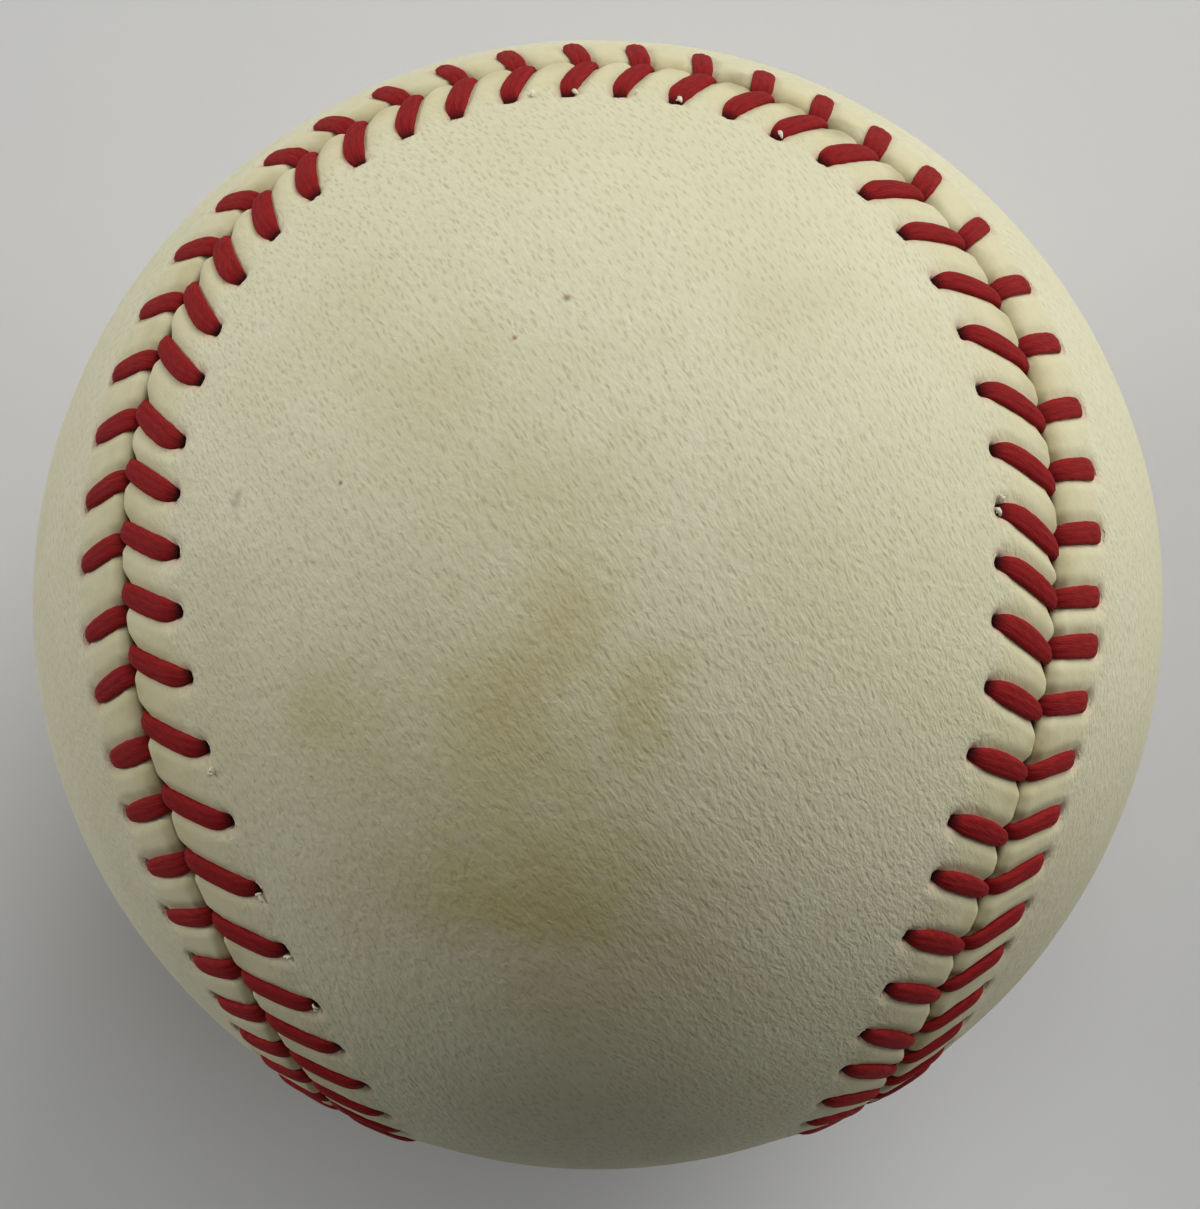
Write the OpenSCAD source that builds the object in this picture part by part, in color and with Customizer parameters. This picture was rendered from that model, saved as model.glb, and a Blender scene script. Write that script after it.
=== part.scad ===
// A hand-stitched leather ball: a moulded centre, four windings and a two-panel cover.
// The origin is the ball's centre. One lobe of the first panel faces +Z, and the
// waists of both panels lie on the Y axis.

/* [Moulded centre] */
// Diameter of the cork and rubber core
core_d = 20.64; // [18:0.02:24]
// Wall of the two black rubber half shells
shell_t = 3.92; // [3:0.02:5]
// Thickness of the gasket between the half shells
gasket_t = 1; // [0.6:0.1:2]
// Wall of the red rubber layer moulded round them
rubber_t = 2.33; // [1.5:0.01:3.5]

/* [Windings] */
// Depth of the first, four-ply wool winding
first_wool_t = 14.61; // [12:0.01:16]
// Depth of the second, three-ply white wool winding
second_wool_t = 1.72; // [1:0.01:3]
// Depth of the third, three-ply wool winding
third_wool_t = 2.22; // [1:0.01:3]
// Depth of the fine finishing yarn
yarn_t = 0.46; // [0.3:0.01:1]
// Room between one layer and the next
layer_gap = 0.05; // [0.02:0.01:0.1]

/* [Cover] */
// Thickness of the leather
leather_t = 1.27; // [1:0.01:1.6]
// Width of the open seam between the two panels
seam_gap = 0.9; // [0.7:0.05:1.2]
// Second wave of the seam's line, as a share of the first
second_wave_share = 0.42; // [0.38:0.01:0.5]
// Third wave of the seam's line, as a share of the first
third_wave_share = 0.04; // [0:0.01:0.05]

/* [Stitches] */
// Number of stitches in each panel
stitches = 108; // [80:4:108]
// Place of the first stitch, as a share of the distance between stitches
first_stitch_share = 0.39; // [0:0.01:1]
// Diameter of a stitch hole
hole_d = 1.1; // [0.9:0.05:1.3]
// Distance from the middle of the seam to a row of holes
hole_row = 5.3; // [4.5:0.1:6]
// How far each stitch of the first panel runs forward along the seam
first_slant = 2.2; // [1.5:0.1:3]
// How far each stitch of the second panel runs forward
second_slant = 0.8; // [0.5:0.1:3]
// Width of the laid thread
thread_w = 1.4; // [1:0.05:1.6]
// Height of the laid thread over the leather
thread_h = 0.6; // [0.4:0.05:1]
// Depth that the thread's ends reach below the surface
thread_dive = 1; // [0.8:0.05:1.1]
// Room between the thread and the leather, and between two threads
thread_gap = 0.05; // [0.03:0.01:0.1]

/* [Hidden] */
$fn = 96;

// Each layer's inner and outer radius, from the core outwards
core_r = core_d/2;
shell_in = core_r + layer_gap;
shell_out = shell_in + shell_t;
rubber_in = shell_out + layer_gap;
rubber_out = rubber_in + rubber_t;
first_in = rubber_out + layer_gap;
first_out = first_in + first_wool_t;
second_in = first_out + layer_gap;
second_out = second_in + second_wool_t;
third_in = second_out + layer_gap;
third_out = third_in + third_wool_t;
yarn_in = third_out + layer_gap;
yarn_out = yarn_in + yarn_t;
cover_in = yarn_out + layer_gap;
ball_r = cover_in + leather_t;

// Reach of a cutting solid beyond what it cuts
overrun = leather_t;

// Colours
cork = [0.45, 0.33, 0.24];
black_rubber = [0.12, 0.12, 0.12];
red_rubber = [0.60, 0.16, 0.13];
gray_wool = [0.55, 0.55, 0.53];
white_wool = [0.88, 0.87, 0.82];
leather = [0.84, 0.82, 0.71];
red_thread = [0.62, 0.12, 0.14];

// The seam is a closed wave on the ball. Its turn runs from 0 to 360, and turns of 0 and 180
// lie at the closed ends of the first panel's two lobes.
function unit(v) = v/norm(v);
function seam_wave(turn) = [
    -sin(turn) - second_wave_share*sin(3*turn) - third_wave_share*sin(5*turn),
    2*sqrt(second_wave_share)*cos(2*turn),
    cos(turn) - second_wave_share*cos(3*turn) + third_wave_share*cos(5*turn)
];
function seam(turn) = unit(seam_wave(turn));

// Lengths along the seam, which space the stitches evenly
seam_samples = 720;
seam_pace = 360/seam_samples;
function pace_length(i) = norm(seam((i + 1)*seam_pace) - seam(i*seam_pace));
seam_lengths = [
    for (i = 0, way = 0; i <= seam_samples; way = way + pace_length(i), i = i + 1) [way, i*seam_pace]
];
seam_length = seam_lengths[seam_samples][0];
function turn_at(way) = lookup((way % seam_length + seam_length) % seam_length, seam_lengths);

// Directions beside the seam: side is 1 towards the first panel and -1 towards the second
function ahead(turn) = unit(seam(turn - seam_pace) - seam(turn + seam_pace));
function arc(way) = way/ball_r*180/PI;
function beside(turn, way, side) =
    seam(turn)*cos(arc(way)) + side*cross(ahead(turn), seam(turn))*sin(arc(way));

function stitch_turn(i, forward) =
    turn_at((i + first_stitch_share)*seam_length/stitches - forward/ball_r);
function hole_way(i, side) = beside(stitch_turn(i, 0), hole_row, side);

// A solid hollow ball, a half of one, and a flat ring cut from one
module ball_layer(r_in, r_out) {
    difference() {
        sphere(r = r_out);
        sphere(r = r_in);
    }
}

module layer_slice(r_in, r_out, low, high) {
    rotate_extrude()
        intersection() {
            difference() {
                circle(r = r_out);
                circle(r = r_in);
            }
            translate([0, low]) square([r_out, high - low]);
        }
}

module cork_core() { color(cork) sphere(r = core_r); }

module black_half() {
    color(black_rubber) layer_slice(shell_in, shell_out, gasket_t/2 + layer_gap, shell_out);
}

module upper_black_shell() { black_half(); }

module lower_black_shell() { mirror([0, 0, 1]) black_half(); }

module shell_gasket() { color(red_rubber) layer_slice(shell_in, shell_out, -gasket_t/2, gasket_t/2); }

module red_rubber_layer() { color(red_rubber) ball_layer(rubber_in, rubber_out); }

module first_wool_winding() { color(gray_wool) ball_layer(first_in, first_out); }

module second_wool_winding() { color(white_wool) ball_layer(second_in, second_out); }

module third_wool_winding() { color(gray_wool) ball_layer(third_in, third_out); }

module finishing_yarn() { color(white_wool) ball_layer(yarn_in, yarn_out); }

// A cone from the ball's centre through one panel's edge. Its base lies outside the ball, as two
// rows of faces that meet over the panel's middle line.
edge_steps = 180;
cone_r = 2*ball_r;

function edge_way(i) = beside(i*360/edge_steps, seam_gap/2, 1);
function middle_way(i) = unit(edge_way(i) + edge_way(edge_steps - i));

module panel_cone() {
    half = edge_steps/2;
    middle = edge_steps + 1;
    points = concat(
        [[0, 0, 0]],
        [for (i = [0 : edge_steps - 1]) cone_r*edge_way(i)],
        [for (i = [1 : half - 1]) cone_r*middle_way(i)]
    );
    function edge(i) = 1 + (i + edge_steps) % edge_steps;
    function mid(i) = i == 0 ? edge(0) : i == half ? edge(half) : middle + i - 1;
    walls = [for (i = [0 : edge_steps - 1]) [0, edge(i), edge(i + 1)]];
    base = [
        for (i = [0 : half - 1]) each [
            if (i > 0) [edge(i), mid(i), edge(i + 1)],
            if (i > 0) [edge(-i), edge(-i - 1), mid(i)],
            if (i < half - 1) [mid(i), mid(i + 1), edge(i + 1)],
            if (i < half - 1) [mid(i), edge(-i - 1), mid(i + 1)]
        ]
    ];
    polyhedron(points = points, faces = concat(walls, base));
}

// One figure-8 panel with its row of stitch holes
module figure_eight() {
    intersection() {
        ball_layer(cover_in, ball_r);
        panel_cone();
    }
}

module towards(way) { rotate([0, acos(way[2]), atan2(way[1], way[0])]) children(); }

module cover_panel(side) {
    difference() {
        rotate(side > 0 ? [0, 0, 0] : [180, 90, 0]) figure_eight();
        for (i = [0 : stitches - 1])
            towards(hole_way(i, side))
                translate([0, 0, cover_in - overrun])
                    cylinder(d = hole_d, h = leather_t + 2*overrun, $fn = hole_sides);
    }
}

module cover_panel_a() { color(leather) cover_panel(1); }

module cover_panel_b() { color(leather) cover_panel(-1); }

// One laid stitch: a flat six-sided thread that rises from its hole, lies on the leather and
// dips into the seam. Its rings run from the hole to the seam.
hole_sides = 6;
ring_sides = 6;
ring_shares = [0, 0.3, 0.7, 1];
height_shares = [0.8, 1, 1, 0.75];
end_width_share = 0.5;
start_lean_share = 0.36;
start_w = hole_d*cos(180/hole_sides) - 2*thread_gap;
end_lean = 2*thread_gap;

// The end's slanting width has to fit in its own half of the open seam
function slope(slant) = slant/norm([slant, hole_row]);
function end_w(slant) =
    min(thread_w*end_width_share, (seam_gap/2 - 2*thread_gap - end_lean)/slope(slant));

function stitch_point(from, to, way, across, up) =
    let (
        line = unit(to - from*(from*to)),
        turn = arc(way),
        here = from*cos(turn) + line*sin(turn)
    ) here*(ball_r + up) + cross(from, line)*across;

module stitch(i, side) {
    slant = side > 0 ? first_slant : second_slant;
    from = hole_way(i, side);
    ring_widths = [start_w, thread_w, thread_w, end_w(slant)];
    end_reach = thread_gap + end_w(slant)/2*slope(slant);
    to = beside(stitch_turn(i, slant), end_reach, side);
    run = acos(from*to)*PI/180*ball_r;
    last = len(ring_shares) - 1;
    leans = [-hole_d*start_lean_share, 0, 0, end_lean];
    points = concat(
        [stitch_point(from, to, 0, 0, -thread_dive)],
        [
            for (k = [0 : last])
                for (j = [0 : ring_sides - 1])
                    let (a = j*360/ring_sides, rise = sin(a)/sin(60))
                        stitch_point(from, to,
                            ring_shares[k]*(run - end_lean) + leans[k]*rise,
                            cos(a)*ring_widths[k]/2,
                            thread_gap + (1 + rise)*thread_h/2*height_shares[k])
        ],
        [stitch_point(from, to, run, 0, -thread_dive)]
    );
    tip = len(points) - 1;
    function at(k, j) = 1 + k*ring_sides + j % ring_sides;
    faces = concat(
        [for (j = [0 : ring_sides - 1]) [0, at(0, j), at(0, j + 1)]],
        [
            for (k = [0 : last - 1])
                for (j = [0 : ring_sides - 1])
                    each [[at(k, j), at(k + 1, j), at(k, j + 1)],
                          [at(k + 1, j), at(k + 1, j + 1), at(k, j + 1)]]
        ],
        [for (j = [0 : ring_sides - 1]) [tip, at(last, j + 1), at(last, j)]]
    );
    polyhedron(points = points, faces = faces);
}

module red_stitches_a() { color(red_thread) for (i = [0 : stitches - 1]) stitch(i, 1); }

module red_stitches_b() { color(red_thread) for (i = [0 : stitches - 1]) stitch(i, -1); }

cork_core();
upper_black_shell();
lower_black_shell();
shell_gasket();
red_rubber_layer();
first_wool_winding();
second_wool_winding();
third_wool_winding();
finishing_yarn();
cover_panel_a();
cover_panel_b();
red_stitches_a();
red_stitches_b();
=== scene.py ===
# A hand-stitched leather ball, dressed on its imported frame: cover panels, laid stitches, inner layers.
import math
import bmesh
import bpy
import numpy as np
from mathutils import Matrix, Vector, noise
from mathutils.geometry import delaunay_2d_cdt


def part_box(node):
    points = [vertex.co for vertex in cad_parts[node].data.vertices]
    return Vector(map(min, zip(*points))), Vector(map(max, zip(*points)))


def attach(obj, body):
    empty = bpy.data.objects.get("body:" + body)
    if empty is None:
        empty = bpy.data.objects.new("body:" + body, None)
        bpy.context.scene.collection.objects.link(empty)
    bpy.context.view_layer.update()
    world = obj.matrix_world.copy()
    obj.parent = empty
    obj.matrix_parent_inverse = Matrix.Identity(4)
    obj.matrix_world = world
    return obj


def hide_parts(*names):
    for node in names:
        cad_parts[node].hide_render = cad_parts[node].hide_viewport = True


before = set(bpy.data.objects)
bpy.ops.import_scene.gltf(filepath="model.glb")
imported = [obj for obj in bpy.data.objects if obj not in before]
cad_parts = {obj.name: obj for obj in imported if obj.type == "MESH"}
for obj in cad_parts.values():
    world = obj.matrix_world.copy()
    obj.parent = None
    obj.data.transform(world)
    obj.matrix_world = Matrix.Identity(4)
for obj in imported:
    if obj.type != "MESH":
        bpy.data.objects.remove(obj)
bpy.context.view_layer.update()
mm = 0.001    # metres in a millimetre; all shapes below are worked out in millimetres
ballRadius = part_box("cover_panel_a")[1].z/mm
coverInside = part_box("finishing_yarn")[1].z/mm
print("stage: frame loaded, ball radius", round(ballRadius, 2), "mm")


# The seam's line, and places beside it

seamLine = {
    "secondWave": 0.42,   # share of the first wave
    "thirdWave": 0.04,
    "samples": 7200,
    "headingStep": 0.002,  # radians of turn to either side that give the seam's heading
}


def unit(v):
    return v/np.linalg.norm(v, axis=-1, keepdims=True)


def seamPoint(turn):
    second, third = seamLine["secondWave"], seamLine["thirdWave"]
    return unit(np.stack([
        -np.sin(turn) - second*np.sin(3*turn) - third*np.sin(5*turn),
        2*math.sqrt(second)*np.cos(2*turn),
        np.cos(turn) - second*np.cos(3*turn) + third*np.cos(5*turn),
    ], axis=-1))


turnSteps = np.linspace(0, 2*math.pi, seamLine["samples"] + 1)
stepLengths = np.linalg.norm(np.diff(seamPoint(turnSteps), axis=0), axis=1)*ballRadius
waySteps = np.concatenate([[0], np.cumsum(stepLengths)])
seamLength = waySteps[-1]


def turnAt(way):
    return np.interp(np.mod(way, seamLength), waySteps, turnSteps)


def besideSeam(way, reach, side):
    # way runs along the seam and reach away from it; side is 1 on the first panel and -1 on the second
    turn = turnAt(way)
    here = seamPoint(turn)
    ahead = unit(seamPoint(turn - seamLine["headingStep"]) - seamPoint(turn + seamLine["headingStep"]))
    across = side*np.cross(ahead, here)
    angle = (np.asarray(reach)/ballRadius)[..., None]
    return here*np.cos(angle) + across*np.sin(angle)


def wayStretch(way, reach, side):
    # how much longer a step along the seam is at this reach than in the seam
    step = 0.1    # mm
    gap = besideSeam(way + step, reach, side) - besideSeam(way - step, reach, side)
    return np.linalg.norm(gap, axis=-1)*ballRadius/(2*step)


def wrapWay(way):
    return np.mod(way + seamLength/2, seamLength) - seamLength/2


def ease(x, low, high):
    t = np.clip((x - low)/(high - low), 0, 1)
    return t*t*(3 - 2*t)


def smoothTable(x, places, values):
    # a smooth curve through a short table
    places, values = np.asarray(places, float), np.asarray(values, float)
    slopes = np.gradient(values, places)
    k = np.clip(np.searchsorted(places, x) - 1, 0, len(places) - 2)
    width = places[k + 1] - places[k]
    t = np.clip((x - places[k])/width, 0, 1)
    return ((1 + 2*t)*(1 - t)**2*values[k] + t*(1 - t)**2*width*slopes[k]
            + t*t*(3 - 2*t)*values[k + 1] + t*t*(t - 1)*width*slopes[k + 1])


# The laid stitches' lines, which the leather and the thread both follow

stitchLay = {
    "stitches": 108,    # in each panel
    "firstStitch": 0.39,  # share of the pitch
    "firstReach": 4.9,  # mm from the middle of the seam to the first panel's holes
    "secondReach": 4.5,
    "endReach": 0.1,    # mm from the middle of the seam to where the thread goes down
    "holeShift": 0.12,  # mm that the open end of a hole lies beyond its thread
    "holeStretch": 0.8,   # below 1 where a hole is drawn out along the seam
    "bend": 1.3,        # how late a stitch turns forward
    "pullSwing": 0.65,  # how much the thread's pull changes along the seam
    "pullBend": 0.3,    # how much later a tightly pulled stitch turns forward
    "stray": 0.1,       # mm that holes and ends stray from stitch to stitch
    "pullStray": 0.12,
    "bendStray": 0.06,
    "sizeStray": 0.05,
    "seed": 11,
}
# The hand sewing is uneven. For some stitches of each row: the number, how far the hole lies off
# its even place and how far the stitch runs forward, in mm
firstSewing = (
    (0, -0.6, 1.5), (3, -0.4, 2.0), (6, 0.0, 2.7), (8, 0.25, 3.2), (10, 0.3, 2.9), (13, -0.6, 2.1),
    (15, -0.4, 2.1), (17, 0.4, 2.1), (20, 0.4, 1.4), (24, 0.1, 1.8), (40, 0.0, 2.5), (68, 0.0, 2.4),
    (80, 0.6, 2.8), (86, 1.4, 2.9), (88.5, 0.5, 1.6), (92, 0.05, 1.1), (94.5, -0.3, 1.8), (96.5, -1.2, 2.0),
    (99, -0.9, 2.0), (102, -0.3, 1.6), (105, -0.3, 1.6), (108, -0.6, 1.5),
)
secondSewing = (
    (0, -0.8, 0.7), (4, -1.0, 0.8), (8, -1.15, 0.7), (11, -0.85, 0.7), (13.5, -0.45, 0.8), (16, -0.8, 0.5),
    (19, -0.8, 0.6), (21, -0.3, 0.9), (26, -0.65, 0.9), (40, -0.65, 0.9), (68, -0.65, 1.0), (80, 0.0, 1.2),
    (86, 0.7, 1.45), (88, 1.2, 1.8), (91, 0.5, 1.2), (93.5, -0.2, 0.4), (95.5, -1.35, 0.6), (97, -1.4, 0.8),
    (99.5, -1.1, 0.7), (102, -0.4, 1.0), (105, -0.65, 0.6), (108, -0.8, 0.7),
)
pitch = seamLength/stitchLay["stitches"]


def layStitches(side):
    lay = stitchLay
    dice = np.random.default_rng(lay["seed"] + (side < 0))
    count = lay["stitches"]
    number = np.arange(count)

    def strays(title, middle=0):
        return dice.normal(middle, lay[title], count)

    known, drift, run = zip(*(firstSewing if side > 0 else secondSewing))
    way = pitch*(number + lay["firstStitch"]) + smoothTable(number, known, drift)
    way = way + strays("stray")
    reach = strays("stray", lay["firstReach"] if side > 0 else lay["secondReach"])
    lean = smoothTable(number, known, run) + strays("stray")
    # the pull of the thread changes slowly along the seam, from loose at 0 to tight at 1
    pull = 0.5 - lay["pullSwing"]*np.sin(turnAt(way)) + strays("pullStray")
    pull = np.clip(pull, 0, 1)
    return {
        "way": way,
        "reach": reach,
        "lean": lean,
        "bend": lay["bend"] + lay["pullBend"]*(pull - 0.5) + strays("bendStray"),
        "pull": pull,
        "size": 1 + strays("sizeStray"),
        "mark": dice.random(count),
    }


stitchRows = {side: layStitches(side) for side in (1, -1)}


def lineShare(row, k, reach):
    return np.clip((row["reach"][k] - reach)/(row["reach"][k] - stitchLay["endReach"]), 0, 1)


def lineWay(row, k, share):
    return row["way"][k] - row["lean"][k]*share**row["bend"][k]


def nearStitch(way, reach, side):
    # distances to the nearest stitch's line and to the nearest hole
    row = stitchRows[side]
    stretch = wayStretch(way, reach, side)
    guess = np.floor(way/pitch - stitchLay["firstStitch"]).astype(int)
    line = hole = np.full(np.shape(way), np.inf)
    for step in range(-2, 4):    # the stitches drift and lean, so their neighbours are measured too
        k = np.mod(guess + step, stitchLay["stitches"])
        share = lineShare(row, k, reach)
        # the line's slope; the least share keeps it finite
        slope = row["lean"][k]*row["bend"][k]*np.maximum(share, 1e-3)**(row["bend"][k] - 1)
        slope = slope/(row["reach"][k] - stitchLay["endReach"])
        beside = np.abs(wrapWay(way - lineWay(row, k, share)))*stretch/np.sqrt(1 + slope**2)
        past = np.maximum(reach - row["reach"][k], 0)
        line = np.minimum(line, np.hypot(beside, past))
        toHole = wrapWay(way - row["way"][k])*stretch
        beyond = reach - row["reach"][k] - stitchLay["holeShift"]
        hole = np.minimum(hole, np.hypot(toHole*stitchLay["holeStretch"], beyond))
    return line, hole


# Mesh helpers

def newObject(name, data):
    thing = bpy.data.objects.new(name, data)
    bpy.context.scene.collection.objects.link(thing)
    return thing


def makePiece(name, points, faces, **marks):
    # marks are numbers or places, one for each point, that the materials read
    mesh = bpy.data.meshes.new(name)
    mesh.from_pydata((np.asarray(points)*mm).tolist(), [], faces)
    for title, values in marks.items():
        kind, key = ("FLOAT", "value") if values.ndim == 1 else ("FLOAT_VECTOR", "vector")
        mesh.attributes.new(title, kind, "POINT").data.foreach_set(key, np.ravel(values))
    mesh.shade_smooth()
    work = bmesh.new()
    work.from_mesh(mesh)
    bmesh.ops.recalc_face_normals(work, faces=work.faces)
    work.to_mesh(mesh)
    work.free()
    print("stage:", name, "has", len(mesh.polygons), "faces")
    return newObject(name, mesh)


def ringFaces(lower, upper):
    # quads between two closed rows of equal length
    count = len(lower)
    return [(lower[i], lower[(i + 1) % count], upper[(i + 1) % count], upper[i]) for i in range(count)]


def halvingFaces(fine, coarse):
    # triangles from a closed row to one with half as many points
    faces = []
    for j in range(len(coarse)):
        a, b, c = fine[2*j], fine[2*j + 1], fine[(2*j + 2) % len(fine)]
        d, e = coarse[j], coarse[(j + 1) % len(coarse)]
        faces += [(a, b, d), (b, e, d), (b, c, e)]
    return faces


def tubeFaces(first, rings, sides):
    # a closed tube: rings of points, numbered from first, then the middle points of its two caps
    grid = (first + np.arange(rings*sides).reshape(rings, sides)).tolist()
    faces = []
    for lower, upper in zip(grid, grid[1:]):
        faces += ringFaces(lower, upper)
    cap = first + rings*sides
    for j in range(sides):
        j2 = (j + 1) % sides
        faces += [(cap, grid[0][j2], grid[0][j]), (cap + 1, grid[-1][j], grid[-1][j2])]
    return faces


# The cover: two figure-8 leathers, turned down at the seam and puffed up between the stitches

cover = {
    "columns": 20,      # for each stitch
    "rows": 28,         # from the lip to the smooth leather
    "smoothReach": 7.0,   # mm from the seam where the relief has died away
    "outerMerges": ((2, 0.4), (4, 1.1)),    # how many columns join into one, and mm beyond the rows
    "underMerges": ((2, 0.8), (4, 1.8)),    # the same below, in mm beyond the edge
    "spacing": 0.9,     # mm between points of the smooth leather
    "fieldClear": 0.55,   # spacings between the last row and the first of them
    "lipSteps": 6,
    "lipWidth": 0.75,   # mm over which the edge rolls down
    "lipDrop": 1.1,
    "undercut": 0.1,    # mm that the underside stays back from the edge
    "lining": 0.02,     # mm of room between the leather and the yarn
    "skin": 0.9,        # mm below the ball's surface down to which the dents are felt
    "gapHalf": 0.05,    # mm from the middle of the seam to the fullest part of an edge
    "scallop": 0.42,    # mm that each stitch pulls the edge back
    "scallopFade": (0.15, 1.3),     # mm from a stitch between which that pull dies away
    "edgeStray": 0.06,
    "pillow": 0.17,     # mm that the leather puffs up between two stitches
    "valley": 0.16,     # mm that a stitch presses it down
    "puffRise": (0.25, 1.35),       # mm from a stitch between which it rises
    "swell": 0.05,      # mm of the whole seam's swelling
    "swellStart": 1.0,  # mm from the seam where it begins to die away
    "rowFade": (3.0, 6.4),  # mm from the seam between which the puffs die away
    "holeDepth": 0.5,
    "holeSize": 0.36,
    "dents": ((0.05, 3.1, (4, 1, 7)), (0.02, 9.0, (0, 0, 0))),      # mm high, waves on the ball, shift
    "dentFade": (2, 7),   # mm from the seam between which the dents come in
    "creases": ((0.035, 34.0, (0, 0, 0)), (0.02, 80.0, (0, 0, 0))),
    "creaseFade": (5, 7),  # mm from the seam between which the creases die away
    "farMark": 3.0,     # mm that stands for no stitch near
    "hideShift": 40.0,  # mm that keeps the two hides' grains apart
    "seed": 5,
}


def unevenHeight(directions, waves):
    return np.array([
        sum(high*noise.noise(Vector(d)*scale + Vector(shift)) for high, scale, shift in waves)
        for d in directions.tolist()
    ])


def leatherRelief(way, reach, side):
    line, hole = nearStitch(way, reach, side)
    inRow = 1 - ease(reach, *cover["rowFade"])
    puff = ease(line, *cover["puffRise"])
    height = inRow*(cover["pillow"]*puff - cover["valley"]*(1 - puff))
    height += cover["swell"]*(1 - ease(reach, cover["swellStart"], cover["smoothReach"]))
    holeDip = np.exp(-(hole/cover["holeSize"])**2)
    return height - cover["holeDepth"]*holeDip, line, hole


def panelChart(directions, side):
    # a flat chart along the panel's middle line, true to angles: its grain and its triangles lie in it
    turn = Matrix.Identity(3) if side > 0 else Matrix(((0, 0, 1), (0, -1, 0), (1, 0, 0)))
    local = directions @ np.array(turn)
    along = np.arctan2(local[:, 2], -local[:, 1])
    across = np.arctanh(np.clip(local[:, 0], -0.999, 0.999))    # endless at 1
    return np.stack([along, across], axis=-1)*ballRadius


def smoothPoints(side, clear):
    # evenly spread points of the ball that lie on this panel, clear of the seam
    pointShare = 0.87    # of a spacing's square that one point takes up
    seamSteps = 1200
    parts = 12    # worked through one after another, to save memory
    count = int(4*math.pi*ballRadius**2/(cover["spacing"]**2*pointShare))
    n = np.arange(count) + 0.5
    height = 1 - 2*n/count
    ring = np.sqrt(1 - height**2)
    golden = math.pi*(3 - math.sqrt(5))
    ball = np.stack([ring*np.cos(golden*n), ring*np.sin(golden*n), height], axis=-1)
    ways = np.linspace(0, seamLength, seamSteps, endpoint=False)
    seam = besideSeam(ways, np.zeros_like(ways), side)
    inward = unit(besideSeam(ways, np.ones_like(ways), side) - seam)
    kept = []
    for part in np.array_split(ball, parts):
        closeness = part @ seam.T
        nearest = closeness.argmax(1)
        away = np.arccos(np.clip(closeness.max(1), -1, 1))*ballRadius
        onPanel = ((part - seam[nearest])*inward[nearest]).sum(1) > 0
        kept.append(part[onPanel & (away > clear)])
    return np.concatenate(kept)


def panelEdge(way, side):
    # how far the panel's edge lies from the middle of the seam: drawn back at each stitch
    dice = np.random.default_rng(cover["seed"] + (side < 0))
    reach = 0.5    # mm, amid the rolled edge
    line, _ = nearStitch(way, np.full(len(way), reach), side)
    pulled = 1 - ease(line, *cover["scallopFade"])
    count = stitchLay["stitches"]
    stray = np.resize(dice.normal(0, cover["edgeStray"], count), count + 1)
    stray = np.interp(way, np.linspace(0, seamLength, count + 1), stray)
    return cover["gapHalf"] + cover["scallop"]*pulled + stray*(1 - pulled)


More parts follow.
